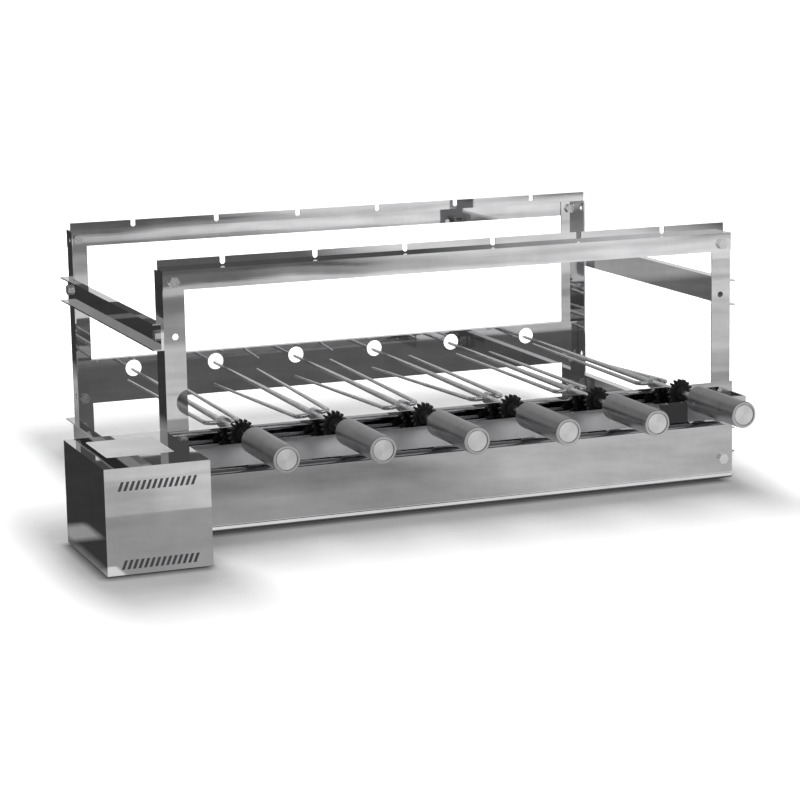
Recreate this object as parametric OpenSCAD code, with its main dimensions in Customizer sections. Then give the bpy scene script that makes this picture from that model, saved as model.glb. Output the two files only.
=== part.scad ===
// Skewer grill frame with a worm drive. Folded mirror-finish sheet carries six forked
// skewers over the fire, and one long worm shaft in a channel turns all of them.
// Millimetres, +Z up, the handles point to -Y. The origin is the middle of the
// footprint on the floor.

/* [Frame] */
// Width over the side posts
frame_w = 644; // [580:1:800]
// Depth from the front posts' faces to the rear posts' faces
frame_d = 392; // [380:1:520]
// Height to the slotted edges of the rails
frame_h = 257; // [240:1:320]
// Thickness of the folded sheet
sheet = 1.5; // [1:0.1:2]
// Width of a post's face
post_face = 22.5; // [21:0.5:30]
// Depth of a front post's side leg
front_leg = 29; // [26:0.5:40]
// Depth of a rear post's side leg
rear_leg = 22; // [20:0.5:30]

/* [Rails and crossbars] */
// Height of a rail's face
rail_face = 20.2; // [18:0.1:26]
// Depth of a rail's top
rail_top = 19.5; // [18:0.5:24]
// Height of the slotted edge over the rail's top
rail_edge = 9.2; // [8:0.1:14]
// Width of a skewer slot in a rail
slot_w = 5.8; // [5:0.1:7]
// Offset of the front rail's slots from the skewers, towards the motor
front_slot_shift = 2.8; // [0:0.1:4]
// Offset of the rear rail's slots from the skewers, away from the motor
rear_slot_shift = 1.8; // [0:0.1:4]
// Height of a crossbar's web
bar_h = 28; // [24:1:34]
// Reach of a crossbar's flanges out of the posts
bar_reach = 10; // [8:0.5:14]
// Height of the upper crossbars' middle
upper_bar_z = 180; // [160:1:195]
// Start of the crossbars behind the front posts' faces
bar_start = 6; // [4:0.5:10]

/* [Skewers] */
// Distance from a post's side to the outer skewer
skewer_in = 72; // [66:0.5:80]
// Height of the skewers' axes
skewer_z = 79.5; // [76:0.5:84]
// Radius of a skewer's rod up to its fork
rod_r = 3.3; // [3:0.1:4.2]
// Radius of a rod before its point
rod_tip_r = 1.7; // [1.2:0.1:2.4]
// Reach of the rods' points behind the rear panel
rod_out = 10; // [9:0.5:30]
// Half the distance between a fork's prongs
fork_half = 18; // [15:0.5:24]
// Radius of a prong at the fork's cross-bar
prong_r = 2.4; // [1.8:0.1:3]
// Radius of a prong before its point
prong_tip_r = 1.4; // [1:0.1:1.7]
// Fork's cross-bar behind the front posts' faces
fork_y = 43; // [36:1:60]
// Prongs' points behind the front posts' faces
prong_end = 326; // [220:1:360]
// Inner bend radius of a fork's corner, on its middle line
fork_bend = 8; // [5:0.5:12]
// Radius of a skewer's collar rings
collar_r = 6.5; // [5.5:0.25:8]
// Length of a rod's point
rod_point = 7; // [4:0.5:12]
// Length of a prong's point
prong_point = 5; // [3:0.5:10]

/* [Handles] */
// Radius of a handle
handle_r = 14; // [11:0.5:17]
// Length of a handle
handle_l = 102; // [80:1:130]
// Front end of the handles in front of the front posts' faces
handle_front = 165; // [155:1:185]
// Wall of a handle's tube
handle_wall = 2.6; // [1.6:0.1:3.2]
// Width of the groove round a handle's end disc
rim_groove = 0.5; // [0.3:0.1:0.8]

/* [Drive channel] */
// Height of the channel's rear wall
channel_top = 82.7; // [81:0.1:90]
// Height of the channel's front wall
channel_lip = 71.4; // [66:0.2:73]
// Underside of the channel
channel_z = 45; // [38:0.5:46]
// Depth of the channel to its front wall's outer face
channel_d = 33; // [31:0.5:38]
// Reach of the channel past the right post
channel_out = 2.5; // [1.5:0.5:8]

/* [Worm drive] */
// Module of the worms and of the finger wheels
gear_m = 1.6; // [1.5:0.05:1.7]
// Width of a wheel's finger
finger_w = 2.2; // [1.8:0.05:2.3]
// Thickness of a finger wheel
wheel_w = 6; // [4:0.5:8]
// Radius of a worm on its pitch line
worm_pitch_r = 8; // [7:0.1:8.5]
// Radius of a worm's core
worm_core_r = 5.9; // [5.2:0.1:6]
// Height of the thread over its pitch line
thread_over = 1.5; // [1.2:0.1:1.6]
// Radius of the drive shaft
shaft_r = 4; // [3:0.25:4.2]
// Shaft's middle line in front of the front posts' faces
shaft_in = 20; // [18:0.5:20.5]

/* [Front cover] */
// Front cover's face in front of the front posts' faces
cover_in = 101.3; // [95:0.1:120]
// Height of the front cover's face under its rounded edge
cover_h = 56; // [48:0.5:58]
// Radius of the cover's rounded top edge
cover_round = 5; // [3:0.25:6]
// Depth of the cover's top edge
cover_lip = 12; // [10:0.5:18]
// Right end of the cover from the right post's side
cover_short = 52.5; // [30:0.5:70]
// Height of the cover's hem
cover_hem = 4.5; // [3:0.25:8]
// Height of the cut corner at the cover's right
corner_h = 9; // [6:0.5:14]
// Length of the cut corner at the cover's right
corner_w = 16.5; // [10:0.5:24]

/* [Motor box] */
// Width of the motor box
box_w = 101.8; // [98:0.1:120]
// Depth of the motor box
box_d = 151.2; // [146:0.2:180]
// Height of the motor box
box_h = 101.3; // [98:0.1:120]
// Right side of the box to the left of the left post
box_gap = 25.2; // [22:0.2:40]
// Rear of the box in front of the front posts' faces
box_rear = 80.1; // [74:0.1:84]
// Radius of the motor
motor_r = 28; // [24:0.5:30]
// Length of the motor
motor_l = 104; // [80:1:120]
// Half the width of the motor's square flange
motor_flange = 32; // [31:0.5:34]
// Motor's middle line to the left of the left post
motor_left = 72; // [71:0.5:74]
// Motor's middle line under the drive shaft
motor_drop = 19; // [17:0.5:20]

/* [Rear panel] */
// Underside of the rear panel
panel_z = 44.2; // [40:0.2:52]
// Top of the rear panel
panel_top = 96.3; // [94:0.1:110]
// Depth of the rear panel's top edge
panel_lip = 9.5; // [6:0.5:14]
// Radius of a skewer's hole in the rear panel
panel_hole_r = 9.6; // [8:0.1:11]
// Height of the holes' centres over the skewers' axes
hole_rise = 2.3; // [0:0.1:4]

/* [Fasteners] */
// Radius of the frame's bolts
bolt_r = 3; // [2.5:0.25:3]
// Width across the flats of the frame's bolts
bolt_flats = 10; // [8:0.5:10]
// Height of a bolt's head
bolt_head = 4; // [3:0.25:5]
// Height of a nut
nut_h = 5; // [3.5:0.25:5.5]

/* [Hidden] */
$fn = 48;

// Clearances
fit_gap = 0.02;
run_gap = 0.05;
seat_gap = 0.3;
part_gap = 1;
cut = 1;
weld = 0.3;

// Colours
steel = [0.80, 0.80, 0.81];
satin = [0.62, 0.62, 0.63];
black = [0.05, 0.05, 0.05];
grey = [0.35, 0.36, 0.37];
cast = [0.66, 0.66, 0.67];

// Overall box and the frame's place in it
bolt_tail = 1;
over_w = box_gap + box_w + frame_w + bar_reach;
over_front = box_rear + box_d;
over_d = over_front + frame_d + rod_out;
left_x = box_gap + box_w - over_w / 2;
right_x = left_x + frame_w;
front_y = over_front - over_d / 2;
rear_y = front_y + frame_d;

// Skewers
skewer_count = 6;
skewer_ids = [0, 1, 2, 3, 4, 5];
first_x = left_x + skewer_in;
pitch = (frame_w - 2 * skewer_in) / (skewer_count - 1);
rod_front = 3 * handle_wall - handle_front;
round_steps = 5;
leg_start = 1;
leg_step = 0.12;
function skewer_x(k) = first_x + k * pitch;

// The forks are bent by hand: turn of each about its rod, then for its left and right
// prong the angle outwards and the angle upwards
rolls = [0, -7, -5, -2, -2, 1];
spreads = [[1.6, 0.4], [1.5, 2.2], [1.7, 0.3], [2.5, 0.2], [0.7, 0.8], [0.6, 0]];
lifts = [[0.2, 0], [-1.8, -0.4], [-1.7, 0.7], [-1.5, 0.2], [0, -0.5], [0.6, -2.2]];

// Frame
post_h = frame_h - rail_edge - sheet;
rail_z = frame_h - rail_edge;
slot_z = rail_z + part_gap;
ground_gap = 1;
lower_bar_z = bar_h / 2 + ground_gap;
tab_reach = 18;
tab_h = 22;
hole_r = bolt_r + seat_gap;
rail_bolt_u = 11.5;
rail_bolt_drop = 1.7;
rail_bolt_z = rail_z - rail_face / 2 - rail_bolt_drop;
spare_u = 12;
channel_bolt_left = 16;
channel_bolt_right = 8;
channel_bolt_z = 72;
side_bolt_y = 19;
rear_side_bolt_y = 10;
low_bolt_z = 16;
low_bolt_u = 10;
panel_bolt_u = 12.4;
panel_bolt_rise = 6.5;
panel_bolt_z = panel_z + panel_bolt_rise;
spare_leg_y = 11;
spare_leg_drop = 9.3;
spare_leg_top = post_h - spare_leg_drop;
spare_leg_low = 56;

// Drive
teeth = 16;
wheel_pitch_r = gear_m * teeth / 2;
wheel_tip_r = wheel_pitch_r + gear_m;
wheel_root_r = wheel_pitch_r - gear_m * 11 / 8;
hub_r = 7.5;
hub_l = 13;
tip_steps = 6;
shaft_y = front_y - shaft_in;
shaft_z = skewer_z - wheel_pitch_r - worm_pitch_r;
thread_pitch = PI * gear_m;
thread_turns = 4;
thread_steps = 24;
thread_r = worm_pitch_r + thread_over;
thread_tip = 0.4;
thread_root = 0.95;
core_over = 3;
channel_right = right_x + channel_out;
end_plate_x = left_x - box_gap;
coupling_r = 8.5;
coupling_l = 28;
coupling_in = 1;
coupling_x = left_x - coupling_in;
coupling_screw_r = 1.5;
bush_r = 6.5;
bush_flange_r = 9;
bush_flange = 2;
bush_out = 1;
stop_r = 6.5;
stop_l = 7;
shaft_out = 3.5;

// Motor and gearbox
box_left = end_plate_x - box_w;
box_front = front_y - over_front;
box_back = front_y - box_rear;
motor_x = left_x - motor_left;
motor_z = shaft_z - motor_drop;
motor_bolt_in = 7;
motor_bolt = motor_flange - motor_bolt_in;
motor_bell = 6;
motor_bell_in = 8;
motor_bell_r = motor_r - motor_bell_in;
flange_t = 3;
gearbox_flange = 5;
gear_case_r = 21;
gear_case_w = 32;
worm_tube_r = 13;
worm_tube_end = 2;
output_boss_r = 10;
output_boss_in = 9;
output_boss_x = end_plate_x - output_boss_in;
base_flange = 14;
gland_x = motor_x;
gland_z = (motor_z + motor_flange + box_h - sheet) / 2;
gland_r = 6;
gland_flats = 16;
gland_hex = 5;
gland_dome = 10;
gland_nut = 4;
gland_bore = 3.5;

// Switch, in the box's right wall
switch_in = 90;
switch_y = box_back - switch_in;
switch_z = 60;
bezel_w = 15;
bezel_h = 22.6;
bezel_t = 2;
rocker_w = 9.6;
rocker_r = 8.6;
rocker_tilt = 8;
rocker_mid = 2.6;
rocker_back = 4;
rocker_gap = 0.4;
rocker_pin_r = 1;
rocker_pin = 0.9;
switch_wall = 1.4;
switch_deep = 14;
switch_half = rocker_w / 2 + rocker_gap + switch_wall;
switch_rise = rocker_r + rocker_gap + switch_wall;

// Cover ends
cover_y = front_y - cover_in;
end_flange = 17;
end_out = 2;
cover_top = cover_h + cover_round;
cover_right = right_x - cover_short;
cover_bolt_z = 20.6;
cover_bolt_in = 10.5;
box_bolt_y = 9.5;
box_bolt_low = 18;
box_bolt_high = 44;

// A box between two corners
module slab(a, b) {
    translate(a) cube(b - a);
}

// A round bar along Y
module y_bar(x, z, y0, y1, r) {
    translate([x, y0, z]) rotate([-90, 0, 0]) cylinder(h = y1 - y0, r = r);
}

// A round bar along X
module x_bar(y, z, x0, x1, r) {
    translate([x0, y, z]) rotate([0, 90, 0]) cylinder(h = x1 - x0, r = r);
}

// A shape turned about a line along Y: points are radius and distance along Y
module turned(x, z, points) {
    translate([x, front_y, z]) rotate([-90, 0, 0]) rotate_extrude() polygon(points);
}

module left_side() {
    translate([left_x, 0, 0]) children();
}

module right_side() {
    translate([right_x, 0, 0]) mirror([1, 0, 0]) children();
}

// Fasteners: place of the head's seat, turn of the axis from +Z, clamped thickness
front_in = [-90, 0, 0];
right_in = [0, 90, 0];
left_in = [0, -90, 0];

rail_bolts = [
    [[left_x + rail_bolt_u, front_y - sheet, rail_bolt_z], front_in, 2 * sheet],
    [[right_x - rail_bolt_u, front_y - sheet, rail_bolt_z], front_in, 2 * sheet]
];
rear_rail_bolts = [
    [[left_x + rail_bolt_u, rear_y, rail_bolt_z], front_in, 2 * sheet],
    [[right_x - rail_bolt_u, rear_y, rail_bolt_z], front_in, 2 * sheet]
];
channel_bolts = [
    [[left_x + channel_bolt_left, front_y - sheet, channel_bolt_z], front_in, 2 * sheet],
    [[right_x - channel_bolt_right, front_y - sheet, channel_bolt_z], front_in, 2 * sheet]
];
panel_bolts = [
    [[left_x + panel_bolt_u, rear_y - sheet, panel_bolt_z], front_in, 2 * sheet],
    [[right_x - panel_bolt_u, rear_y - sheet, panel_bolt_z], front_in, 2 * sheet]
];
tab_bolts = [
    [[left_x + low_bolt_u, rear_y, low_bolt_z], front_in, 2 * sheet],
    [[right_x - low_bolt_u, rear_y, low_bolt_z], front_in, 2 * sheet]
];
cover_bolts = [
    [[end_plate_x + sheet + cover_bolt_in, cover_y, cover_bolt_z], front_in, 2 * sheet],
    [[cover_right - cover_bolt_in, cover_y, cover_bolt_z], front_in, 2 * sheet]
];
left_bar_bolts = [
    [[left_x - sheet, front_y + side_bolt_y, upper_bar_z], right_in, 2 * sheet],
    [[left_x - sheet, rear_y - rear_side_bolt_y, upper_bar_z], right_in, 2 * sheet],
    [[left_x - sheet, front_y + side_bolt_y, lower_bar_z], right_in, 2 * sheet]
];
right_bar_bolts = [
    [[right_x + sheet, front_y + side_bolt_y, upper_bar_z], left_in, 2 * sheet],
    [[right_x + sheet, rear_y - rear_side_bolt_y, upper_bar_z], left_in, 2 * sheet],
    [[right_x + sheet, front_y + side_bolt_y, lower_bar_z], left_in, 2 * sheet]
];
end_bolts = [
    [[end_plate_x + sheet, box_back - box_bolt_y, box_bolt_low], left_in, 2 * sheet],
    [[end_plate_x + sheet, box_back - box_bolt_y, box_bolt_high], left_in, 2 * sheet]
];
motor_bolts = [
    for (sx = [-1, 1], sz = [-1, 1])
        [[motor_x + sx * motor_bolt, box_back - sheet - flange_t, motor_z + sz * motor_bolt],
         front_in, flange_t + sheet + gearbox_flange]
];
all_bolts = concat(rail_bolts, rear_rail_bolts, channel_bolts, panel_bolts, tab_bolts, cover_bolts,
                   left_bar_bolts, right_bar_bolts, end_bolts, motor_bolts);

module hex_bar(h) {
    cylinder(h = h, r = bolt_flats / sqrt(3), $fn = 6);
}

module bolt_holes(bolts) {
    for (b = bolts)
        translate(b[0]) rotate(b[1]) translate([0, 0, -cut]) cylinder(h = b[2] + 2 * cut, r = hole_r);
}

module hex_bolts() {
    color(steel)
    for (b = all_bolts)
        translate(b[0]) rotate(b[1]) union() {
            translate([0, 0, -bolt_head]) hex_bar(bolt_head);
            cylinder(h = b[2] + nut_h + bolt_tail, r = bolt_r);
        }
}

module hex_nuts() {
    color(steel)
    for (b = all_bolts)
        translate(b[0]) rotate(b[1]) translate([0, 0, b[2]]) difference() {
            hex_bar(nut_h);
            translate([0, 0, -cut]) cylinder(h = nut_h + 2 * cut, r = bolt_r + fit_gap);
        }
}

// Posts: folded angles, drawn from their outer side
module front_post_angle() {
    slab([0, front_y, 0], [post_face, front_y + sheet, post_h]);
    slab([0, front_y, 0], [sheet, front_y + front_leg, post_h]);
}

module rear_post_angle() {
    slab([0, rear_y, 0], [post_face, rear_y + sheet, post_h]);
    slab([0, rear_y + sheet - rear_leg, 0], [sheet, rear_y + sheet, post_h]);
}

module spare_hole(y) {
    y_bar(spare_u, upper_bar_z, y - cut, y + sheet + cut, hole_r);
}

module spare_leg_holes() {
    for (z = [spare_leg_low, spare_leg_top])
        x_bar(rear_y - spare_leg_y, z, -cut, sheet + cut, hole_r);
}

module front_post_left() {
    color(steel)
    difference() {
        left_side() difference() {
            front_post_angle();
            spare_hole(front_y);
        }
        bolt_holes(concat(rail_bolts, channel_bolts, left_bar_bolts));
    }
}

module front_post_right() {
    color(steel)
    difference() {
        right_side() difference() {
            front_post_angle();
            spare_hole(front_y);
        }
        bolt_holes(concat(rail_bolts, channel_bolts, right_bar_bolts));
    }
}

module rear_post_left() {
    color(steel)
    difference() {
        left_side() difference() {
            rear_post_angle();
            spare_hole(rear_y);
            spare_leg_holes();
        }
        bolt_holes(concat(rear_rail_bolts, panel_bolts, tab_bolts, left_bar_bolts));
    }
}

module rear_post_right() {
    color(steel)
    difference() {
        right_side() difference() {
            rear_post_angle();
            spare_hole(rear_y);
            spare_leg_holes();
        }
        bolt_holes(concat(rear_rail_bolts, panel_bolts, tab_bolts, right_bar_bolts));
    }
}

// Rails: a face, a top over the posts and a slotted edge. y runs inwards from the face.
module rail_shape(shift) {
    difference() {
        union() {
            slab([left_x, 0, rail_z - rail_face], [right_x, sheet, rail_z]);
            slab([left_x, 0, rail_z - sheet], [right_x, rail_top, rail_z]);
            slab([left_x, rail_top - sheet, rail_z - sheet], [right_x, rail_top, frame_h]);
        }
        for (k = skewer_ids) {
            slab([skewer_x(k) + shift - slot_w / 2, rail_top - sheet - cut, slot_z + slot_w / 2],
                 [skewer_x(k) + shift + slot_w / 2, rail_top + cut, frame_h + cut]);
            y_bar(skewer_x(k) + shift, slot_z + slot_w / 2, rail_top - sheet - cut, rail_top + cut,
                  slot_w / 2);
        }
    }
}

module front_rail() {
    color(steel)
    difference() {
        translate([0, front_y - sheet, 0]) rail_shape(-front_slot_shift);
        bolt_holes(rail_bolts);
    }
}

module rear_rail() {
    color(steel)
    difference() {
        translate([0, rear_y + 2 * sheet, 0]) mirror([0, 1, 0]) rail_shape(rear_slot_shift);
        bolt_holes(rear_rail_bolts);
    }
}

// Crossbars: channels that open outwards
module crossbar_shape(z) {
    y0 = front_y + bar_start;
    y1 = rear_y + sheet;
    slab([-sheet, y0, z - bar_h / 2], [0, y1, z + bar_h / 2]);
    for (s = [-1, 1])
        slab([-bar_reach, y0, z + (s * (bar_h - sheet) - sheet) / 2],
             [0, y1, z + (s * (bar_h - sheet) + sheet) / 2]);
}

module lower_tab() {
    slab([-sheet, rear_y, lower_bar_z - tab_h / 2], [0, rear_y + 2 * sheet, lower_bar_z + tab_h / 2]);
    slab([-sheet, rear_y + sheet, lower_bar_z - tab_h / 2],
         [tab_reach, rear_y + 2 * sheet, lower_bar_z + tab_h / 2]);
}

module upper_crossbar_left() {
    color(steel)
    difference() {
        left_side() crossbar_shape(upper_bar_z);
        bolt_holes(left_bar_bolts);
    }
}

module upper_crossbar_right() {
    color(steel)
    difference() {
        right_side() crossbar_shape(upper_bar_z);
        bolt_holes(right_bar_bolts);
    }
}

module lower_crossbar_left() {
    color(steel)
    difference() {
        left_side() union() {
            crossbar_shape(lower_bar_z);
            lower_tab();
        }
        bolt_holes(concat(left_bar_bolts, tab_bolts));
    }
}

module lower_crossbar_right() {
    color(steel)
    difference() {
        right_side() union() {
            crossbar_shape(lower_bar_z);
            lower_tab();
        }
        bolt_holes(concat(right_bar_bolts, tab_bolts));
    }
}

// Rear panel: the rods' ends pass through its holes
module rear_panel() {
    x0 = left_x + sheet + seat_gap;
    x1 = right_x - sheet - seat_gap;
    hole_z = skewer_z + hole_rise;
    color(steel)
    difference() {
        union() {
            slab([x0, rear_y - sheet, panel_z], [x1, rear_y, panel_top]);
            slab([x0, rear_y - panel_lip, panel_top - sheet], [x1, rear_y, panel_top]);
        }
        for (k = skewer_ids)
            y_bar(skewer_x(k), hole_z, rear_y - sheet - cut, rear_y + cut, panel_hole_r);
        bolt_holes(panel_bolts);
    }
}

// Drive channel: rear wall with a round-bottomed seat for every rod
module drive_channel() {
    x0 = end_plate_x + sheet;
    y0 = front_y - channel_d;
    seat_r = rod_r + seat_gap;
    color(steel)
    difference() {
        union() {
            slab([x0, front_y - sheet, channel_z], [channel_right, front_y, channel_top]);
            slab([x0, y0, channel_z], [channel_right, front_y, channel_z + sheet]);
            slab([x0, y0, channel_z], [channel_right, y0 + sheet, channel_lip]);
            slab([channel_right - sheet, y0, channel_z], [channel_right, front_y, channel_lip]);
        }
        for (k = skewer_ids) {
            slab([skewer_x(k) - seat_r, front_y - sheet - cut, skewer_z],
                 [skewer_x(k) + seat_r, front_y + cut, channel_top + cut]);
            y_bar(skewer_x(k), skewer_z, front_y - sheet - cut, front_y + cut, seat_r);
        }
        x_bar(shaft_y, shaft_z, channel_right - sheet - cut, channel_right + cut, bush_r + fit_gap);
        bolt_holes(channel_bolts);
    }
}

// Front cover: face, hem at the floor and a rounded top edge, with a cut corner at its right
module front_cover() {
    x0 = end_plate_x + sheet;
    x1 = cover_right;
    round_y = cover_y + cover_round;
    color(steel)
    difference() {
        union() {
            slab([x0, cover_y, 0], [x1, cover_y + sheet, cover_h]);
            slab([x0, cover_y - sheet, 0], [x1, cover_y, cover_hem]);
            difference() {
                x_bar(round_y, cover_h, x0, x1, cover_round);
                x_bar(round_y, cover_h, x0 - cut, x1 + cut, cover_round - sheet);
                slab([x0 - cut, cover_y - cut, cover_h - 2 * cover_round],
                     [x1 + cut, round_y + cover_round + cut, cover_h]);
                slab([x0 - cut, round_y, cover_h - cut],
                     [x1 + cut, round_y + cover_round + cut, cover_h + 2 * cover_round]);
            }
            slab([x0, round_y, cover_top - sheet], [x1, cover_y + cover_lip, cover_top]);
        }
        translate([x1, cover_y - cut, cover_top]) rotate([-90, 0, 0])
            linear_extrude(height = cover_lip + 2 * cut)
                polygon([[cut, -cut], [cut, corner_h + cut], [0, corner_h], [-corner_w, 0], [-corner_w, -cut]]);
        bolt_holes(cover_bolts);
    }
}

// Cover ends: plates across the trough between the cover and the channel
module end_profile(rear, front_top, rear_top) {
    rotate([90, 0, 90]) linear_extrude(height = sheet)
        polygon([[cover_y + sheet, 0], [rear, 0], [rear, rear_top], [front_y - channel_d, rear_top],
                 [front_y - channel_d - end_flange, front_top], [cover_y + sheet, front_top]]);
}

module cover_end_left() {
    color(steel)
    difference() {
        translate([end_plate_x, 0, 0]) union() {
            end_profile(front_y, cover_h - sheet, channel_lip);
            slab([0, cover_y + sheet, cover_hem], [end_flange + sheet, cover_y + 2 * sheet, cover_h - corner_h]);
        }
        x_bar(shaft_y, shaft_z, end_plate_x - cut, end_plate_x + sheet + cut, bush_r + fit_gap);
        bolt_holes(concat(cover_bolts, end_bolts));
    }
}

// The right end's front flange stands behind the cover's face and shows past its cut corner
module cover_end_right() {
    x1 = cover_right + end_out;
    inner = cover_right - end_flange;
    top = cover_top - part_gap;
    under = cover_h - seat_gap;
    slope_x = cover_right - corner_w + corner_w * (cover_top - under) / corner_h + part_gap;
    color(steel)
    difference() {
        union() {
            translate([x1 - sheet, 0, 0]) rotate([90, 0, 90]) linear_extrude(height = sheet)
                polygon([[cover_y + sheet, 0], [front_y - channel_d, 0], [front_y - channel_d, channel_lip],
                         [cover_y + 2 * sheet, top], [cover_y + sheet, top]]);
            translate([0, cover_y + 2 * sheet, 0]) rotate([90, 0, 0]) linear_extrude(height = sheet)
                polygon([[inner, cover_hem], [x1, cover_hem], [x1, top - sheet], [x1 - 2 * sheet, top],
                         [cover_right - corner_w + corner_w * part_gap / corner_h + part_gap, top],
                         [slope_x, under], [inner, under]]);
        }
        bolt_holes(cover_bolts);
    }
}

// Motor box: a folded shell over a base, with the motor inside
module motor_box() {
    x1 = end_plate_x;
    color(steel)
    difference() {
        slab([box_left, box_front, 0], [x1, box_back, box_h]);
        slab([box_left + sheet, box_front + sheet, -cut], [x1 - sheet, box_back - sheet, box_h - sheet]);
        y_bar(motor_x, motor_z, box_back - sheet - cut, box_back + cut, worm_tube_r);
        y_bar(gland_x, gland_z, box_back - sheet - cut, box_back + cut, gland_r + seat_gap);
        slab([x1 - sheet - cut, switch_y - switch_half - fit_gap, switch_z - switch_rise - fit_gap],
             [x1 + cut, switch_y + switch_half + fit_gap, switch_z + switch_rise + fit_gap]);
        bolt_holes(concat(end_bolts, motor_bolts));
    }
}

module motor_box_base() {
    x0 = box_left + sheet;
    x1 = end_plate_x - sheet;
    y0 = box_front + sheet;
    y1 = box_back - sheet;
    color(steel)
    union() {
        slab([x0, y0, 0], [x1, y1, sheet]);
        slab([x0, y0, 0], [x0 + sheet, y1, base_flange]);
        slab([x1 - sheet, y0, 0], [x1, y1 - motor_flange, base_flange]);
    }
}

module gear_motor() {
    y1 = box_back - sheet;
    color(grey)
    difference() {
        union() {
            slab([motor_x - motor_flange, y1 - flange_t, motor_z - motor_flange],
                 [motor_x + motor_flange, y1, motor_z + motor_flange]);
            y_bar(motor_x, motor_z, y1 - motor_l, y1 - flange_t, motor_r);
            y_bar(motor_x, motor_z, y1 - motor_l - motor_bell, y1 - motor_l, motor_bell_r);
        }
        bolt_holes(motor_bolts);
    }
}

module gearbox() {
    y0 = box_back;
    color(cast)
    difference() {
        union() {
            slab([motor_x - motor_flange, y0, motor_z - motor_flange],
                 [motor_x + motor_flange, y0 + gearbox_flange, motor_z + motor_flange]);
            y_bar(motor_x, motor_z, y0, front_y - worm_tube_end, worm_tube_r - part_gap);
            x_bar(shaft_y, shaft_z, motor_x - gear_case_w / 2, motor_x + gear_case_w / 2, gear_case_r);
            x_bar(shaft_y, shaft_z, motor_x, output_boss_x, output_boss_r);
        }
        x_bar(shaft_y, shaft_z, motor_x - gear_case_w / 2 + sheet, output_boss_x + cut, shaft_r + run_gap);
        bolt_holes(motor_bolts);
    }
}

module cord_gland() {
    y0 = box_back;
    color(black)
    difference() {
        union() {
            translate([gland_x, y0, gland_z]) rotate(front_in)
                cylinder(h = gland_hex, r = gland_flats / sqrt(3), $fn = 6);
            translate([gland_x, y0 - sheet - gland_nut, gland_z]) rotate(front_in)
                cylinder(h = gland_nut, r = gland_flats / sqrt(3), $fn = 6);
            y_bar(gland_x, gland_z, y0 - 2 * gland_nut, y0 + gland_dome, gland_r);
        }
        y_bar(gland_x, gland_z, y0 - 2 * gland_nut - cut, y0 + gland_dome + cut, gland_bore);
    }
}

// Switch: a frame in the box's wall and a rocker on two pins
module switch_frame() {
    x1 = end_plate_x;
    well = rocker_r + rocker_gap;
    y0 = switch_y - rocker_w / 2 - rocker_gap;
    y1 = switch_y + rocker_w / 2 + rocker_gap;
    color(black)
    difference() {
        union() {
            slab([x1, switch_y - bezel_w / 2, switch_z - bezel_h / 2],
                 [x1 + bezel_t, switch_y + bezel_w / 2, switch_z + bezel_h / 2]);
            slab([x1 - switch_deep, switch_y - switch_half, switch_z - switch_rise],
                 [x1, switch_y + switch_half, switch_z + switch_rise]);
        }
        slab([x1 - switch_deep + switch_wall, y0, switch_z - well], [x1 + bezel_t + cut, y1, switch_z + well]);
        y_bar(x1, switch_z, y0 - rocker_pin, y1 + rocker_pin, rocker_pin_r + run_gap);
    }
}

module switch_rocker() {
    rise = rocker_mid + rocker_r * tan(rocker_tilt);
    color(black)
    translate([end_plate_x, switch_y, switch_z]) rotate([0, rocker_tilt, 0]) union() {
        intersection() {
            y_bar(0, 0, -rocker_w / 2, rocker_w / 2, rocker_r);
            translate([0, rocker_w / 2, 0]) rotate([90, 0, 0]) linear_extrude(height = rocker_w)
                polygon([[-rocker_back, -rocker_r], [rise, -rocker_r], [rocker_mid, 0],
                         [rise, rocker_r], [-rocker_back, rocker_r]]);
        }
        y_bar(0, 0, -rocker_w / 2 - rocker_pin, rocker_w / 2 + rocker_pin, rocker_pin_r);
    }
}

// Drive shaft and its worms
module shaft_bushes() {
    right = channel_right;
    left = end_plate_x;
    color(cast)
    difference() {
        union() {
            x_bar(shaft_y, shaft_z, left - bush_out, left + sheet + bush_flange, bush_r);
            x_bar(shaft_y, shaft_z, left + sheet, left + sheet + bush_flange, bush_flange_r);
            x_bar(shaft_y, shaft_z, right - sheet - bush_flange, right + bush_out, bush_r);
            x_bar(shaft_y, shaft_z, right - sheet - bush_flange, right - sheet, bush_flange_r);
        }
        x_bar(shaft_y, shaft_z, left - cut - bush_out, left + sheet + bush_flange + cut, shaft_r + run_gap);
        x_bar(shaft_y, shaft_z, right - sheet - bush_flange - cut, right + bush_out + cut, shaft_r + run_gap);
    }
}

module drive_shaft() {
    stop_x = channel_right - sheet - bush_flange - seat_gap;
    color(satin)
    union() {
        x_bar(shaft_y, shaft_z, coupling_x + seat_gap, channel_right + shaft_out, shaft_r);
        x_bar(shaft_y, shaft_z, stop_x - stop_l, stop_x, stop_r);
    }
}

module output_shaft() {
    color(satin)
    x_bar(shaft_y, shaft_z, motor_x - gear_case_w / 2 + 2 * sheet, coupling_x - seat_gap, shaft_r);
}

module shaft_coupling() {
    color(satin)
    difference() {
        x_bar(shaft_y, shaft_z, coupling_x - coupling_l / 2, coupling_x + coupling_l / 2, coupling_r);
        x_bar(shaft_y, shaft_z, coupling_x - coupling_l / 2 - cut, coupling_x + coupling_l / 2 + cut,
              shaft_r + fit_gap);
        for (s = [-1, 1])
            translate([coupling_x + s * coupling_l / 4, shaft_y, shaft_z])
                cylinder(h = coupling_r + cut, r = coupling_screw_r);
    }
}

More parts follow.
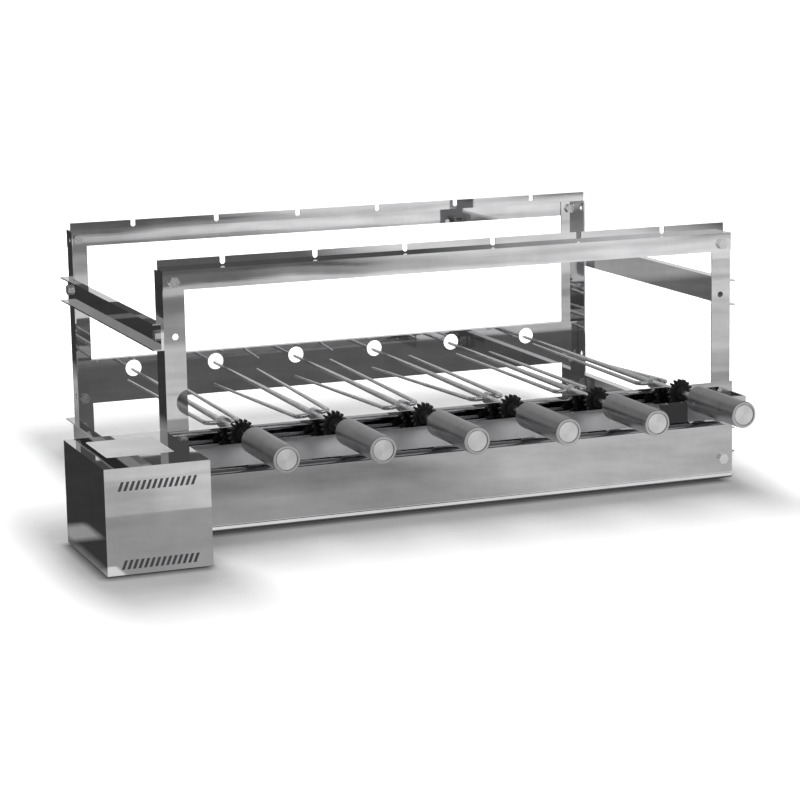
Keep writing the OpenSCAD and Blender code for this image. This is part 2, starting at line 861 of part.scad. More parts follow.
// One worm's thread: a four-sided profile swept along a right-handed helix.
// It starts so that a finger of the wheel stands midway between two turns.
module worm_thread(x) {
    steps = thread_turns * thread_steps;
    r0 = worm_core_r - weld;
    corners = [[-thread_root, r0], [thread_root, r0], [thread_tip, thread_r], [-thread_tip, thread_r]];
    start = -(thread_turns - 1 / 2) / 2 * thread_pitch;
    points = [
        for (i = [0:steps], c = corners)
            let (a = 360 * i / thread_steps)
            [x + start + thread_pitch * i / thread_steps + c[0],
             shaft_y + c[1] * cos(a), shaft_z + c[1] * sin(a)]
    ];
    sides = [
        for (i = [0:steps - 1], c = [0:3])
            [4 * i + c, 4 * i + 4 + c, 4 * i + 4 + (c + 1) % 4, 4 * i + (c + 1) % 4]
    ];
    ends = [[0, 1, 2, 3], [4 * steps + 3, 4 * steps + 2, 4 * steps + 1, 4 * steps]];
    polyhedron(points = points, faces = concat(sides, ends), convexity = 2 * thread_turns);
}

module drive_worms() {
    half = thread_turns / 2 * thread_pitch + core_over;
    color(black)
    for (k = skewer_ids)
        difference() {
            union() {
                x_bar(shaft_y, shaft_z, skewer_x(k) - half, skewer_x(k) + half, worm_core_r);
                worm_thread(skewer_x(k));
            }
            x_bar(shaft_y, shaft_z, skewer_x(k) - half - cut, skewer_x(k) + half + cut, shaft_r + fit_gap);
        }
}

// Skewers: a tapering rod, its collar and a two-pronged fork
module skewer(k) {
    end = frame_d + rod_out;
    ring = collar_r;
    groove = collar_r - rod_r / 3;
    ring_w = rod_r * 3 / 4;
    y0 = fork_y - 4 * ring_w;
    color(steel)
    translate([skewer_x(k), front_y, skewer_z]) rotate([0, rolls[k], 0]) union() {
        rotate([-90, 0, 0]) rotate_extrude() polygon([
            [0, rod_front], [rod_r, rod_front],
            [rod_r, y0], [ring, y0], [ring, y0 + ring_w], [groove, y0 + ring_w],
            [groove, y0 + 3 * ring_w / 2], [ring, y0 + 3 * ring_w / 2], [ring, y0 + 5 * ring_w / 2],
            [groove, y0 + 5 * ring_w / 2], [groove, y0 + 3 * ring_w], [ring, y0 + 3 * ring_w],
            [ring, fork_y + ring_w], [rod_r, fork_y + ring_w],
            [rod_tip_r, end - rod_point], [rod_tip_r / 4, end], [0, end]
        ]);
        for (s = [0, 1])
            mirror([1 - s, 0, 0]) translate([0, fork_y, 0]) rotate([lifts[k][s], 0, 0]) prong(spreads[k][s]);
    }
}

// A prong from inside the rod: half the cross-bar, a bend, then a leg that leans outwards
module prong(spread) {
    bend_x = fork_half - fork_bend;
    leg = prong_end - fork_y - fork_bend;
    x_bar(0, 0, rod_r / 2, bend_x, prong_r);
    translate([bend_x, fork_bend, 0]) rotate([0, 0, -90]) rotate_extrude(angle = 90 - spread)
        translate([fork_bend, 0]) circle(r = prong_r);
    translate([bend_x + fork_bend * cos(spread), fork_bend * (1 - sin(spread)), 0]) rotate([0, 0, -spread])
        rotate([-90, 0, 0]) rotate_extrude() polygon([
            [0, -leg_start], [prong_r - leg_step, -leg_start], [prong_r - leg_step, leg_start],
            [prong_tip_r, leg - prong_point], [prong_tip_r / 3, leg], [0, leg]
        ]);
}

// Handles: a thick tube with rounded ends, closed at the front by a disc in a groove
module handle(k) {
    y0 = -handle_front;
    y1 = y0 + handle_l;
    edge = handle_wall * 3 / 5;
    inner = handle_r - handle_wall;
    bore = rod_r + fit_gap;
    color(satin)
    turned(skewer_x(k), skewer_z, concat(
        [[inner, y0]],
        [for (j = [0:round_steps]) let (t = 90 * j / round_steps)
            [handle_r - edge + edge * sin(t), y0 + edge - edge * cos(t)]],
        [for (j = [0:round_steps]) let (t = 90 * j / round_steps)
            [handle_r - edge + edge * cos(t), y1 - edge + edge * sin(t)]],
        [[bore, y1], [bore, y1 - 2 * handle_wall], [inner, y1 - 2 * handle_wall]]
    ));
}

module end_cap(k) {
    y0 = rim_groove / 2 - handle_front;
    y1 = y0 + handle_wall / 2;
    y2 = y0 + 5 * handle_wall;
    plug = handle_r - handle_wall - fit_gap;
    disc = plug - rim_groove;
    boss = rod_r * 2;
    bore = rod_r + fit_gap;
    color(satin)
    turned(skewer_x(k), skewer_z, [
        [0, y0], [disc - rim_groove, y0], [disc, y0 + rim_groove], [disc, y1], [plug, y1],
        [plug, y1 + handle_wall], [boss, y1 + handle_wall], [boss, y2],
        [bore, y2], [bore, rod_front], [0, rod_front]
    ]);
}

// Finger wheel: one finger points straight down into the worm
module wheel(k) {
    y1 = shaft_y + wheel_w / 2;
    half = finger_w / 2;
    tip = wheel_tip_r - half;
    root = sqrt(wheel_root_r * wheel_root_r - half * half);
    outline = [
        for (i = [0:teeth - 1])
            let (a = 360 * i / teeth - 90, finger = concat([[root, -half]],
                 [for (j = [0:tip_steps]) let (t = 180 * j / tip_steps - 90) [tip + half * cos(t), half * sin(t)]],
                 [[root, half]]))
            for (p = finger) [p[0] * cos(a) - p[1] * sin(a), p[0] * sin(a) + p[1] * cos(a)]
    ];
    color(black)
    difference() {
        union() {
            translate([skewer_x(k), y1, skewer_z]) rotate([90, 0, 0])
                linear_extrude(height = wheel_w) polygon(outline);
            y_bar(skewer_x(k), skewer_z, shaft_y - hub_l / 2, shaft_y + hub_l / 2, hub_r);
        }
        y_bar(skewer_x(k), skewer_z, shaft_y - hub_l / 2 - cut, shaft_y + hub_l / 2 + cut, rod_r + fit_gap);
    }
}

motor_box();
motor_box_base();
gear_motor();
gearbox();
cord_gland();
switch_frame();
front_cover();
cover_end_left();
cover_end_right();
drive_channel();
front_post_left();
front_post_right();
rear_post_left();
rear_post_right();
front_rail();
rear_rail();
upper_crossbar_left();
upper_crossbar_right();
lower_crossbar_left();
lower_crossbar_right();
rear_panel();
shaft_bushes();
hex_bolts();
hex_nuts();
drive_shaft();
output_shaft();
shaft_coupling();
drive_worms();
switch_rocker();
skewer(0);  // skewer_1
handle(0);  // handle_1
end_cap(0);  // end_cap_1
wheel(0);  // wheel_1
skewer(1);  // skewer_2
handle(1);  // handle_2
end_cap(1);  // end_cap_2
wheel(1);  // wheel_2
skewer(2);  // skewer_3
handle(2);  // handle_3
end_cap(2);  // end_cap_3
wheel(2);  // wheel_3
skewer(3);  // skewer_4
handle(3);  // handle_4
end_cap(3);  // end_cap_4
wheel(3);  // wheel_4
skewer(4);  // skewer_5
handle(4);  // handle_5
end_cap(4);  // end_cap_5
wheel(4);  // wheel_5
skewer(5);  // skewer_6
handle(5);  // handle_6
end_cap(5);  // end_cap_6
wheel(5);  // wheel_6
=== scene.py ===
"""Looks of the skewer grill frame: materials, small surface details, studio and camera."""

import math

import bmesh
import bpy
from mathutils import Matrix, Vector


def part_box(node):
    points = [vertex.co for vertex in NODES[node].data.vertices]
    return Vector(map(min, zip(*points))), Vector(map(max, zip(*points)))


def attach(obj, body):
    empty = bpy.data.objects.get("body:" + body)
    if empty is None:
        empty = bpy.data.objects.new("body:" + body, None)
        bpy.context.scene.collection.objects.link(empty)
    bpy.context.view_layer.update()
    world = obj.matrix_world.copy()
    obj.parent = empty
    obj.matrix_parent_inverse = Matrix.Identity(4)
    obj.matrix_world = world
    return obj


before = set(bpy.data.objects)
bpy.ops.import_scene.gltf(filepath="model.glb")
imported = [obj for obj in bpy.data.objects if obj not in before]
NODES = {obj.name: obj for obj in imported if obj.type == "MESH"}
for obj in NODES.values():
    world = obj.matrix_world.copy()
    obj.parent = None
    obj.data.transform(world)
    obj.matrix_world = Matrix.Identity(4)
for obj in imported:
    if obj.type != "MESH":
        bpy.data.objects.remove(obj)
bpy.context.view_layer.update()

MM = 0.001
SKEWERS = range(1, 7)


# ---------------------------------------------------------------- node trees
FINE_RELIEF = 0.2 * MM

# The Mix node's sockets for colours: those for numbers and vectors have the same names
MIX_DARK, MIX_LIGHT, MIX_RESULT = 6, 7, 2


class Nodes:
    """A small builder for one node tree: a material's, or the world's."""

    def __init__(self, name, kind="materials", output="OutputMaterial"):
        self.owner = getattr(bpy.data, kind).new(name)
        self.owner.use_nodes = True
        self.tree = self.owner.node_tree
        self.tree.nodes.clear()
        self.out = self.new(output)
        self.object_coords = None

    def new(self, kind, **settings):
        node = self.tree.nodes.new("ShaderNode" + kind)
        for key, value in settings.items():
            setattr(node, key, value)
        return node

    def link(self, source, target):
        self.tree.links.new(source, target)

    def feed(self, socket, value):
        """A link when value is a socket, or else the socket's own value."""
        if isinstance(value, bpy.types.NodeSocket):
            self.link(value, socket)
        else:
            socket.default_value = value

    def fill(self, node, **inputs):
        """Feeds a node's inputs by name, with _ for a space; None leaves one as it is."""
        for name, value in inputs.items():
            if value is not None:
                self.feed(node.inputs[name.replace("_", " ")], value)
        return node

    def end(self, shader):
        self.link(shader.outputs[0], self.out.inputs["Surface"])
        return self.owner

    def coords(self):
        if self.object_coords is None:
            self.object_coords = self.new("TexCoord").outputs["Object"]
        return self.object_coords

    def axes(self):
        """The object coordinates x, y and z."""
        split = self.new("SeparateXYZ")
        self.link(self.coords(), split.inputs[0])
        return tuple(split.outputs)

    def vector(self, **parts):
        return self.fill(self.new("CombineXYZ"), **parts).outputs[0]

    def math(self, operation, *values):
        node = self.new("Math", operation=operation)
        for socket, value in zip(node.inputs, values):
            self.feed(socket, value)
        return node.outputs[0]

    def noise(self, scale, detail=3, rough=0.5, stretch=(1, 1, 1), vector=None):
        """Noise over the object coordinates, or over another vector."""
        if vector is None:
            mapping = self.fill(self.new("Mapping"), Vector=self.coords(), Scale=stretch)
            vector = mapping.outputs["Vector"]
        node = self.fill(self.new("TexNoise"), Vector=vector, Scale=scale, Detail=detail,
                         Roughness=rough)
        return node.outputs["Fac"]

    def spread(self, value, low, high, from_low=0.3, from_high=0.7):
        """Maps from_low..from_high, where most of a noise lies, on to low..high."""
        node = self.fill(self.new("MapRange"), Value=value, From_Min=from_low, From_Max=from_high,
                         To_Min=low, To_Max=high)
        return node.outputs["Result"]

    def band(self, value, low, high, soft):
        """1 between low and high, 0 outside, with soft edges."""
        rise = self.spread(value, 0, 1, low - soft, low + soft)
        fall = self.spread(value, 1, 0, high - soft, high + soft)
        return self.math("MULTIPLY", rise, fall)

    def rectangle(self, x, y, area, soft_x, soft_y):
        """1 in an area (x from, x to, y from, y to), 0 outside, with soft edges."""
        x0, x1, y0, y1 = area
        return self.math("MULTIPLY", self.band(x, x0, x1, soft_x), self.band(y, y0, y1, soft_y))

    def tint(self, value, dark, light):
        node = self.new("Mix", data_type="RGBA")
        self.feed(node.inputs[0], value)
        self.feed(node.inputs[MIX_DARK], (*dark, 1))
        self.feed(node.inputs[MIX_LIGHT], (*light, 1))
        return node.outputs[MIX_RESULT]

    def bump(self, height, strength, distance=FINE_RELIEF, normal=None):
        node = self.fill(self.new("Bump"), Height=height, Strength=strength, Distance=distance,
                         Normal=normal)
        return node.outputs["Normal"]

    def surface(self, color, roughness, **more):
        shader = self.new("BsdfPrincipled")
        return self.end(self.fill(shader, Base_Color=color, Roughness=roughness, **more))

    def glow(self, level):
        return self.end(self.fill(self.new("Emission"), Strength=level))

    def seen(self):
        """1 for what the camera or the metal sees, 0 for light on its way elsewhere."""
        path = self.new("LightPath")
        return self.math("MAXIMUM", path.outputs["Is Camera Ray"], path.outputs["Is Glossy Ray"])


# ---------------------------------------------------------------- materials
def grey(level, blue=0.01):
    """A grey for metal, a little bluer than neutral."""
    return level, level, level + blue


def mirror_sheet(name, dark, light):
    """Polished folded stainless: faint smears, hairline scratches, a slight bow in the sheet."""
    n = Nodes(name)
    smear = n.noise(scale=14, detail=4, rough=0.6, stretch=(1, 1, 0.6))
    hair = n.noise(scale=900, detail=2, rough=0.6, stretch=(0.03, 1, 1))
    color = n.tint(n.spread(smear, 0, 1), grey(dark), grey(light))
    rough = n.math("ADD", n.spread(smear, 0.012, 0.032), n.spread(hair, 0, 0.010, 0.45, 0.75))
    bow = n.bump(n.noise(scale=5, detail=1, rough=0.3), strength=0.14, distance=4 * MM)
    normal = n.bump(hair, strength=0.005, normal=bow)
    return n.surface(color, rough, Metallic=1, Normal=normal)


def bright_rod():
    """Drawn wire: fine streaks along the rod, with paler and darker stretches."""
    n = Nodes("bright_rod")
    streak = n.noise(scale=700, rough=0.6, stretch=(1, 0.02, 1))
    stain = n.noise(scale=25, rough=0.6)
    color = n.tint(n.spread(stain, 0, 1), grey(0.70), grey(0.86))
    rough = n.spread(streak, 0.16, 0.30)
    return n.surface(color, rough, Metallic=1, Normal=n.bump(streak, strength=0.12))


def satin_tube():
    """Fine turned marks round the tube, with a few darker rubbed patches."""
    n = Nodes("satin_tube")
    rings = n.noise(scale=1500, rough=0.7, stretch=(0.05, 1, 0.05))
    rub = n.noise(scale=30, detail=4, rough=0.65)
    color = n.tint(n.spread(rub, 0, 1), grey(0.29), grey(0.41))
    rough = n.math("ADD", n.spread(rub, 0.24, 0.36), n.spread(rings, 0, 0.06))
    return n.surface(color, rough, Metallic=1, Normal=n.bump(rings, strength=0.25))


def brushed_disc(name, dark, light, first_x, pitch, axis_z):
    """Concentric brushing about each handle's own axis: the row of axes repeats every pitch."""
    n = Nodes(name)
    x, _, z = n.axes()
    along = n.math("SUBTRACT", x, first_x - pitch / 2)
    side = n.math("SUBTRACT", n.math("FLOORED_MODULO", along, pitch), pitch / 2)
    up = n.math("SUBTRACT", z, axis_z)
    squares = (n.math("MULTIPLY", value, value) for value in (side, up))
    radius = n.math("SQRT", n.math("ADD", *squares))
    rings = n.noise(scale=2200, detail=4, vector=n.vector(X=radius))
    around = n.vector(X=up, Z=n.math("MULTIPLY", side, -1))
    color = n.tint(n.spread(rings, 0, 1), grey(dark, 0), grey(light, 0))
    normal = n.bump(rings, strength=0.3, distance=0.3 * MM)
    return n.surface(color, n.spread(rings, 0.28, 0.42), Metallic=1, Normal=normal,
                     Tangent=around, Anisotropic=0.75)


def moulded(name, dark, light, rough, grain=600, **more):
    """Plastic, paint or a dull skin: patchy in colour and gloss, with a fine grain."""
    n = Nodes(name)
    fine = n.noise(scale=grain, rough=0.6)
    patch = n.noise(scale=40, rough=0.6)
    color = n.tint(n.spread(patch, 0, 1), dark, light)
    normal = n.bump(fine, strength=0.12)
    return n.surface(color, n.spread(patch, *rough), Normal=normal, **more)


def metal(name, dark, light, rough, grain, stretch=(1, 1, 1), bump=0.15):
    """Bare metal, patchy in colour, its grain in the gloss and in the relief."""
    n = Nodes(name)
    fine = n.noise(scale=grain, rough=0.6, stretch=stretch)
    patch = n.noise(scale=35, rough=0.6)
    color = n.tint(n.spread(patch, 0, 1), dark, light)
    return n.surface(color, n.spread(fine, *rough), Metallic=1, Normal=n.bump(fine, bump))


# ---------------------------------------------------------------- pieces made here
MARKS_IN_ROW = 14
# Each row of marks, in mm from the box's left edge and from the floor: bottom, top, left, width
MARK_ROWS = ((5.4, 14.1, 13.3, 74.4), (79.5, 88.2, 12.2, 75.5))
MARK_SLANT = 3.6 * MM
MARK_THICK = 2.9 * MM
MARK_DEPTH = 0.02 * MM

# The label's edges, from the box's left edge and from its front
LABEL_X = (16 * MM, 82 * MM)
LABEL_Y = (50 * MM, 130 * MM)
LABEL_CORNER = 3 * MM
LABEL_THICK = 0.12 * MM
CORNER_STEPS = 4


def add_object(name, data):
    obj = bpy.data.objects.new(name, data)
    bpy.context.scene.collection.objects.link(obj)
    return obj


def mesh_object(name, bm, material):
    """An object with the mesh of bm, which is freed."""
    mesh = bpy.data.meshes.new(name)
    bm.to_mesh(mesh)
    bm.free()
    mesh.materials.append(material)
    return add_object(name, mesh)


def prism_piece(name, outlines, offset, material, body="stand"):
    """A piece of closed prisms: each is a flat outline and the same, moved by the offset."""
    bm = bmesh.new()
    for outline in outlines:
        base = [bm.verts.new(corner) for corner in outline]
        top = [bm.verts.new(Vector(corner) + Vector(offset)) for corner in outline]
        bm.faces.new(base)
        bm.faces.new(top)
        for i in range(len(outline)):
            j = (i + 1) % len(outline)
            bm.faces.new((base[i], base[j], top[j], top[i]))
    bmesh.ops.recalc_face_normals(bm, faces=bm.faces)
    piece = mesh_object(name, bm, material)
    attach(piece, body)


def hash_rows():
    """Two rows of slanted printed marks on the front of the motor box."""
    ink = moulded("print_ink", (0.045, 0.043, 0.05), (0.085, 0.082, 0.09), rough=(0.4, 0.55),
                  grain=300)
    low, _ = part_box("motor_box")
    outlines = []
    for bottom, top, left, width in MARK_ROWS:
        step = width * MM / MARKS_IN_ROW
        for i in range(MARKS_IN_ROW):
            x = low.x + left * MM + i * step
            outlines.append([(x, low.y, bottom * MM),
                             (x + MARK_THICK, low.y, bottom * MM),
                             (x + MARK_THICK + MARK_SLANT, low.y, top * MM),
                             (x + MARK_SLANT, low.y, top * MM)])
    prism_piece("printed_marks", outlines, (0, -MARK_DEPTH, 0), ink)


def blank_label():
    """A plain pale label without any print, on the top of the motor box."""
    film = moulded("label_film", (0.66, 0.65, 0.65), (0.78, 0.77, 0.77), rough=(0.28, 0.42),
                   grain=200)
    low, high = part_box("motor_box")
    x0, x1 = (low.x + inset for inset in LABEL_X)
    y0, y1 = (low.y + inset for inset in LABEL_Y)
    centres = ((x1 - LABEL_CORNER, y1 - LABEL_CORNER), (x0 + LABEL_CORNER, y1 - LABEL_CORNER),
               (x0 + LABEL_CORNER, y0 + LABEL_CORNER), (x1 - LABEL_CORNER, y0 + LABEL_CORNER))
    outline = []
    for quarter, (x, y) in enumerate(centres):
        for step in range(CORNER_STEPS + 1):
            turn = math.radians(90 * (quarter + step / CORNER_STEPS))
            outline.append((x + LABEL_CORNER * math.cos(turn), y + LABEL_CORNER * math.sin(turn),
                            high.z))
    prism_piece("blank_label", [outline], (0, 0, LABEL_THICK), film)


# ---------------------------------------------------------------- finishes of the CAD nodes
SHEET_NODES = (
    "motor_box", "motor_box_base", "front_cover", "cover_end_left", "cover_end_right",
    "drive_channel", "front_post_left", "front_post_right", "rear_post_left", "rear_post_right",
    "front_rail", "rear_rail", "upper_crossbar_left", "upper_crossbar_right",
    "lower_crossbar_left", "lower_crossbar_right", "rear_panel",
)
SHARP_ANGLE = math.radians(40)


def numbered(stem):
    """The names of the nodes that every skewer has one of."""
    return [f"{stem}_{k}" for k in SKEWERS]


def paint(names, material, bevel=0.0):
    """One finish for whole nodes, with soft edges where a bevel width is given."""
    for name in names:
        node = NODES[name]
        node.data.materials.clear()
        node.data.materials.append(material)
        for polygon in node.data.polygons:
            polygon.material_index = 0
        if bevel:
            edge = node.modifiers.new("soft_edges", "BEVEL")
            edge.width = bevel
            edge.segments = 2
            edge.limit_method = "ANGLE"
            edge.angle_limit = SHARP_ANGLE


def finish_faces(name, material, chosen):
    """A second finish on the faces whose normal is chosen."""
    data = NODES[name].data
    data.materials.append(material)
    for polygon in data.polygons:
        if chosen(polygon.normal):
            polygon.material_index = len(data.materials) - 1


def is_inner_side(normal):
    return normal.y > 0.9


def is_rounded_edge(normal):
    """The fold between the cover's upright front and its level top."""
    return normal.z > 0.1 and -0.995 < normal.y < -0.1


def is_front_rim(normal):
    return normal.y < -0.5


def dress():
    paint(SHEET_NODES, mirror_sheet("mirror_sheet", 0.60, 0.72), bevel=0.6 * MM)
    dull = moulded("dull_sheet", grey(0.74), grey(0.84), rough=(0.5, 0.62), grain=60)
    finish_faces("front_cover", dull, is_inner_side)
    # Painted shade: the cover's rounded fold gets a much darker copy of the mirror sheet, which
    # stands in for a dark reflection along the fold
    finish_faces("front_cover", mirror_sheet("worn_fold", 0.14, 0.30), is_rounded_edge)

    paint(numbered("skewer"), bright_rod())
    paint(numbered("handle"), satin_tube())
    low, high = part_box("end_cap_1")
    next_low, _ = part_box("end_cap_2")
    axes = ((low.x + high.x) / 2, next_low.x - low.x, (low.z + high.z) / 2)
    paint(numbered("end_cap"), brushed_disc("brushed_disc", 0.86, 1.0, *axes))
    rim = brushed_disc("turned_rim", 0.55, 0.80, *axes)
    for name in numbered("handle"):
        finish_faces(name, rim, is_front_rim)

    paint(numbered("wheel"), moulded("black_wheel", grey(0.008, 0), grey(0.02, 0),
                                     rough=(0.34, 0.5), Specular_IOR_Level=0.2), bevel=0.2 * MM)
    paint(["drive_worms"], moulded("black_worm", grey(0.012, 0), grey(0.03, 0),
                                   rough=(0.3, 0.45), Specular_IOR_Level=0.2))
    paint(["hex_bolts", "hex_nuts"], metal("bolt_steel", grey(0.78), grey(0.92),
                                           rough=(0.20, 0.32), grain=500, bump=0.04),
          bevel=0.25 * MM)
    paint(["drive_shaft", "output_shaft", "shaft_coupling"],
          metal("ground_steel", grey(0.50, 0.02), grey(0.66, 0.02), rough=(0.18, 0.32),
                grain=900, stretch=(0.05, 1, 1)))
    paint(["gearbox"], metal("cast_aluminium", grey(0.55), grey(0.70), rough=(0.38, 0.55),
                             grain=300, bump=0.4), bevel=0.5 * MM)
    paint(["gear_motor"], moulded("motor_paint", (0.14, 0.15, 0.16), (0.22, 0.23, 0.24),
                                  rough=(0.35, 0.5)), bevel=0.4 * MM)
    paint(["cord_gland", "switch_frame", "switch_rocker"],
          moulded("switch_plastic", grey(0.015, 0), grey(0.035, 0), rough=(0.4, 0.55)),
          bevel=0.25 * MM)
    paint(["shaft_bushes"], metal("sintered_metal", grey(0.42), grey(0.58), rough=(0.3, 0.45),
                                  grain=400))


# ---------------------------------------------------------------- the room in the metal
FAR = 9.0
FLOOR_LEVEL = 0.45
# Zones of the room's floor as the metal sees them, each laid over those before it:
# x from, x to, y from, y to, level, soft edge in x, soft edge in y
FLOOR_ZONES = (
    (-0.30, 0.90, -0.185, 0.32, 0.13, 0.03, 0.01),
    (-0.30, FAR, 0.32, 1.21, 0.17, 0.03, 0.06),
    (-0.30, FAR, 1.21, FAR, 0.42, 0.03, 0.05),
    (-FAR, -0.38, -0.30, FAR, 0.045, 0.02, 0.02),
    (-0.425, -0.395, -0.165, -0.10, 0.34, 0.004, 0.012),
    (-0.62, -0.53, 1.19, 1.235, 0.16, 0.004, 0.004),
    (-0.38, FAR, -0.55, -0.185, 0.42, 0.02, 0.01),
    (0.09, FAR, -0.47, -0.185, 0.62, 0.07, 0.02),
    (-0.24, 0.05, -0.43, -0.33, 0.29, 0.03, 0.03),
    (-0.29, 0.36, -0.207, -0.187, 0.95, 0.002, 0.002),
    (-0.29, 0.36, -0.1935, -0.180, 0.12, 0.002, 0.001),
    (-0.40, -0.373, -0.352, -0.317, 0.95, 0.002, 0.002),
    (-FAR, FAR, -0.70, -0.55, 0.56, 0.02, 0.003),
    (-0.25, 0.30, -0.70, -0.55, 0.78, 0.03, 0.003),
    (-FAR, FAR, -1.10, -0.70, 0.74, 0.02, 0.02),
    (-FAR, FAR, -1.35, -1.10, 0.42, 0.02, 0.05),
    (0.50, FAR, -1.35, -1.10, 0.90, 0.20, 0.05),
    (-FAR, FAR, -1.54, -1.35, 0.28, 0.02, 0.03),
    (0.65, FAR, -1.54, -1.35, 0.78, 0.30, 0.03),
    (-FAR, FAR, -1.68, -1.54, 0.64, 0.02, 0.01),
    (0.42, FAR, -1.68, -1.54, 1.02, 0.20, 0.01),
    (-FAR, FAR, -1.775, -1.68, 0.34, 0.02, 0.008),
    (0.75, FAR, -1.775, -1.68, 1.00, 0.30, 0.008),
    (-FAR, 0.36, -1.775, -1.645, 0.20, 0.05, 0.006),
    (-FAR, FAR, -1.82, -1.775, 0.13, 0.02, 0.004),
    (0.66, FAR, -1.82, -1.775, 0.80, 0.08, 0.004),
    (-FAR, FAR, -FAR, -1.82, 0.14, 0.02, 0.004),
    (0.62, 1.28, -2.30, -1.82, 0.92, 0.10, 0.004),
    (-2.50, -0.42, -1.20, -0.31, 1.40, 0.02, 0.01),
)
WALL_HEIGHT = 6
# Above the stage's floor, which it hides from the metal
CARD_Z = 0.2 * MM


def reflected_floor():
    """The grey and dark patches of a workshop's floor, seen only in the metal."""
    n = Nodes("reflected_floor")
    x, y, _ = n.axes()
    level = FLOOR_LEVEL
    for *area, target, soft_x, soft_y in FLOOR_ZONES:
        mask = n.rectangle(x, y, area, soft_x, soft_y)
        level = n.math("MULTIPLY_ADD", n.math("SUBTRACT", target, level), mask, level)
    mottle = n.spread(n.noise(scale=9, detail=4, rough=0.6), 0.86, 1.14)
    return n.glow(n.math("MULTIPLY", level, mottle))


def reflected_wall(name, low, high, edge, soft, join=None, side=()):
    """A card with two levels, low under high, and a soft edge between them.

    The edge is at a height over the card's middle. Towards one side the level can change:
    join says how, and side holds the two levels there and the x of the change's ends.
    """
    n = Nodes(name)
    x, y, _ = n.axes()
    level = n.spread(y, low, high, edge - soft, edge + soft)
    if join:
        level = n.math(join, level, n.spread(x, *side))
    mottle = n.spread(n.noise(scale=0.8), 0.9, 1.1)
    return n.glow(n.math("MULTIPLY", level, mottle))


def set_axes(obj, place, right, up, out):
    """Puts an object at a place, with its own X, Y and Z along right, up and out."""
    turn = Matrix((right, up, out)).transposed().to_4x4()
    obj.matrix_world = Matrix.Translation(place) @ turn


def plane(name, centre, size, material, facing=(0, 0, 1)):
    bm = bmesh.new()
    x, y = size[0] / 2, size[1] / 2
    bm.faces.new([bm.verts.new(c) for c in ((-x, -y, 0), (x, -y, 0), (x, y, 0), (-x, y, 0))])
    obj = mesh_object(name, bm, material)
    out = Vector(facing)
    up = Vector((0, 1, 0)) if out.z else Vector((0, 0, 1))
    set_axes(obj, centre, up.cross(out), up, out)
    return obj


def wall(name, x, y, width, facing, material):
    return plane(name, (x, y, WALL_HEIGHT / 2), (width, WALL_HEIGHT), material, facing)


def reflected_room():
    """Cards round the object that only the metal sees."""
    room = (2 * FAR, 2 * FAR)
    cards = (
        plane("room_floor", (0, 0, CARD_Z), room, reflected_floor()),
        wall("room_back", 0, 5, 16, (0, -1, 0),
             reflected_wall("back_wall", 0.76, 0.50, -1.45, 0.25,
                            "MULTIPLY", (0.45, 1.0, -1.5, -0.9))),
        wall("room_front", 0, -6, 18, (0, 1, 0),
             reflected_wall("front_wall", 0.12, 0.90, -1.0, 0.3,
                            "MAXIMUM", (0.8, 0.0, -3.2, -2.2))),
        wall("room_left", -6, 0, 12, (1, 0, 0), reflected_wall("left_wall", 0.10, 0.16, 0.0, 1.5)),
        wall("room_right", 7, 0, 12, (-1, 0, 0),
             reflected_wall("right_wall", 0.75, 0.30, -1.0, 0.5)),
        plane("room_top", (0, 0, WALL_HEIGHT), room,
              reflected_wall("ceiling", 0.24, 0.34, 0.0, 2.0), (0, 0, -1)),
    )
    for card in cards:
        card.visible_camera = False
        card.visible_diffuse = False
        card.visible_shadow = False
        card.visible_transmission = False


# ---------------------------------------------------------------- studio
STAGE_SIZE = 40
STAGE_Z = -0.6 * MM
AMBIENT = 0.5

# The frame and the motor box on the floor: middle x, middle y, half width, half depth
FOOTPRINT = ((0.01, 0.06, 0.295, 0.25), (-0.345, -0.24, 0.045, 0.075))
# The floor's shade ends between these distances from it, in the direction of Y
SHADE_END = (0.05, 0.25)
# It reaches this much less far sideways
SHADE_SQUEEZE = 3.5
# The light that turns the floor white beyond the shade
FLOOR_GLOW = 0.65

# How dark the painted contact shadow makes the floor right beside the sheet that stands on it, and
# the soft edges of that
CONTACT_SHADE = 0.25
CONTACT_SOFT = (6 * MM, 8 * MM)


def outside(n, x, y, middle_x, middle_y, half_x, half_y):
    """Distance from a rectangle, 0 inside it; distances in x count more."""
    squares = []
    for value, middle, half, weight in ((x, middle_x, half_x, SHADE_SQUEEZE),
                                        (y, middle_y, half_y, 1)):
        side = n.math("ABSOLUTE", n.math("SUBTRACT", value, middle))
        out = n.math("MAXIMUM", n.math("SUBTRACT", side, half), 0)
        weighted = n.math("MULTIPLY", out, weight)
        squares.append(n.math("MULTIPLY", weighted, weighted))
    return n.math("SQRT", n.math("ADD", *squares))


def painted_shadow_areas():
    """Where a contact shadow is painted into the floor's colour beside the cover and the motor
    box: x from, x to, y from, y to.
    """
    cover, cover_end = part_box("front_cover")
    box, box_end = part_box("motor_box")
    return ((cover.x, cover_end.x - 12 * MM, cover.y - 16 * MM, cover.y + 20 * MM),
            (box.x - 6 * MM, box_end.x - 2 * MM, box.y - 9 * MM, box_end.y - 6 * MM))


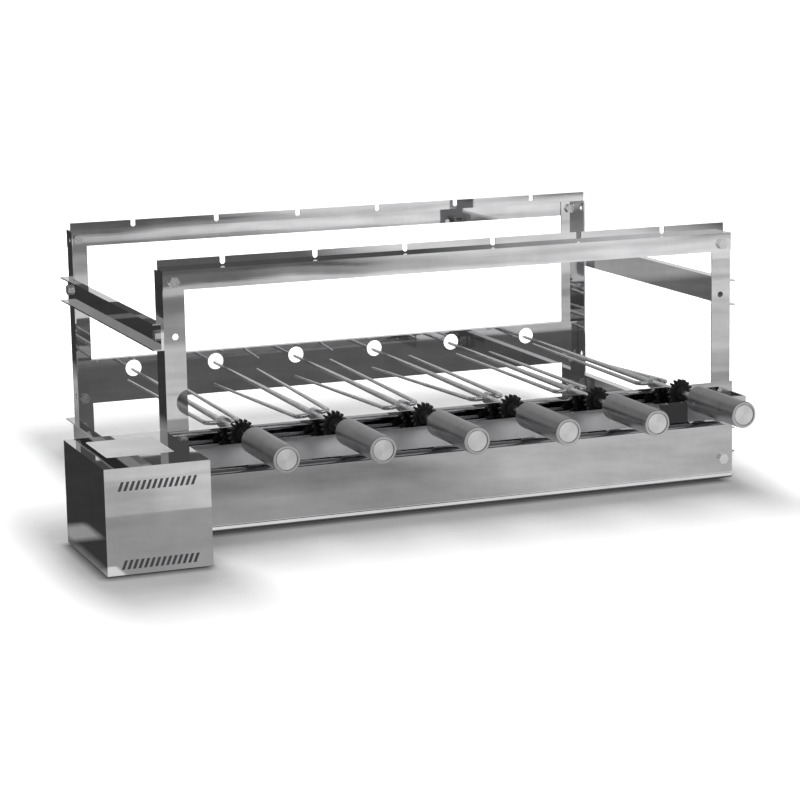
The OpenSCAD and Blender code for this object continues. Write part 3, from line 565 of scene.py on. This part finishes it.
def floor_material():
    """Real lamp shading near the object, plus painted shade: a contact shadow in the colour and a
    glow held off round the object; farther out the floor turns white for the camera.
    """
    n = Nodes("floor")
    x, y, _ = n.axes()
    shade = n.spread(n.noise(scale=40, rough=0.6), 0.78, 0.82)
    # Painted contact shadow: the floor's colour darkens beside the cover and the motor box
    for area in painted_shadow_areas():
        near = n.rectangle(x, y, area, *CONTACT_SOFT)
        shade = n.math("MULTIPLY", shade, n.spread(near, 1, CONTACT_SHADE, 0, 1))
    matt = n.fill(n.new("BsdfDiffuse"), Color=n.tint(shade, (0, 0, 0), (1, 1, 1)))
    # Painted shade: the glow is held off near the object and fades in between the SHADE_END
    # distances, so a grey shade stays round it whatever the lamps
    distance = n.math("MINIMUM", *(outside(n, x, y, *area) for area in FOOTPRINT))
    white = n.spread(distance, 0, FLOOR_GLOW, *SHADE_END)
    light = n.fill(n.new("Emission"), Strength=n.math("MULTIPLY", n.seen(), white))
    both = n.new("AddShader")
    n.link(matt.outputs[0], both.inputs[0])
    n.link(light.outputs[0], both.inputs[1])
    return n.end(both)


def white_world():
    """Plain ambient light; white for the camera and in the metal."""
    n = Nodes("studio", "worlds", "OutputWorld")
    strength = n.spread(n.seen(), AMBIENT, 1, 0, 1)
    bpy.context.scene.world = n.end(n.fill(n.new("Background"), Color=(1, 1, 1, 1),
                                           Strength=strength))


def lamp(name, place, target, size, power):
    """A soft square lamp, which the metal doesn't mirror."""
    data = bpy.data.lights.new(name, "AREA")
    data.shape = "SQUARE"
    data.size = size
    data.energy = power
    obj = add_object(name, data)
    obj.location = place
    obj.rotation_mode = "QUATERNION"
    obj.rotation_quaternion = (Vector(place) - Vector(target)).to_track_quat("Z", "Y")
    obj.visible_glossy = False


def studio():
    white_world()
    plane("floor", (0, 0, STAGE_Z), (STAGE_SIZE, STAGE_SIZE), floor_material())
    lamp("key_light", place=(0.3, 1.9, 1.5), target=(0, 0, 0), size=1.3, power=31)
    lamp("fill_light", place=(-1.4, -1.8, 1.6), target=(0, 0, 0.1), size=1.2, power=9)
    reflected_room()


# ---------------------------------------------------------------- camera
# Fitted to the photograph: place in metres, angles in degrees, lens and sensor in mm
CAMERA_AT = (-0.9606, -2.5592, 0.5965)
CAMERA_YAW, CAMERA_PITCH, CAMERA_ROLL = 21.024, 10.724, -1.064
CAMERA_LENS = 115.56
CAMERA_SENSOR = 36.0
CAMERA_CLIP = (0.05, 100)


def camera():
    yaw, pitch, roll = (math.radians(a) for a in (CAMERA_YAW, CAMERA_PITCH, CAMERA_ROLL))
    forward = Vector((math.sin(yaw) * math.cos(pitch), math.cos(yaw) * math.cos(pitch),
                      -math.sin(pitch)))
    right = Vector((math.cos(yaw), -math.sin(yaw), 0))
    up = right.cross(forward)
    turned_right = math.cos(roll) * right + math.sin(roll) * up
    turned_up = math.cos(roll) * up - math.sin(roll) * right
    data = bpy.data.cameras.new("camera")
    data.lens = CAMERA_LENS
    data.sensor_width = CAMERA_SENSOR
    data.clip_start, data.clip_end = CAMERA_CLIP
    obj = add_object("camera", data)
    set_axes(obj, CAMERA_AT, turned_right, turned_up, -forward)
    bpy.context.scene.camera = obj


dress()
hash_rows()
blank_label()
studio()
camera()
bpy.context.scene.view_settings.view_transform = "Standard"
